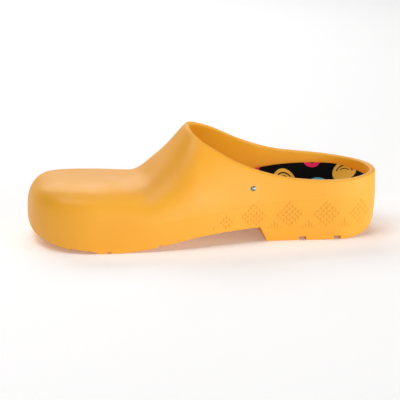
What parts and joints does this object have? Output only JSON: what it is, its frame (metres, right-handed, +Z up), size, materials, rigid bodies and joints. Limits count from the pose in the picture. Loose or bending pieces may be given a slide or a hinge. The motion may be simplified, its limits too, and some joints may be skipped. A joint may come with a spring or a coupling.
{
  "type": "garden clog",
  "caption": "Left backless garden clog: one-piece moulded shell with a low block heel, side rivets and a removable cupped footbed that lifts at the heel.",
  "frame": {"origin": "on the ground, at the middle of the clog's length and width", "axes": "+X from toe to heel, +Y from the lateral (outer) side to the medial (inner) side, +Z up"},
  "size_m": [0.2753, 0.1022, 0.0892],
  "materials": {
    "shell": "matt satin moulded polyurethane",
    "rivet": "dull plated steel",
    "cover": "dark printed cotton",
    "foam": "open-cell latex foam",
    "cork": "granulated cork and latex",
    "backing": "thin non-woven cloth"
  },
  "bodies": {
    "clog": {"shell": "shell", "rivet_lateral": "rivet", "rivet_medial": "rivet", "rivet_washer_lateral": "rivet", "rivet_washer_medial": "rivet"},
    "footbed": {"footbed_core": "cork", "footbed_foam": "foam", "footbed_cover": "cover", "footbed_backing": "backing"}
  },
  "joints": [
    {"name": "footbed_lift", "type": "hinge", "parent": "clog", "child": "footbed", "pos_m": [-0.1286, 0, 0.0135], "axis": [0, -1, 0], "range_deg": [0, 3]}
  ]
}
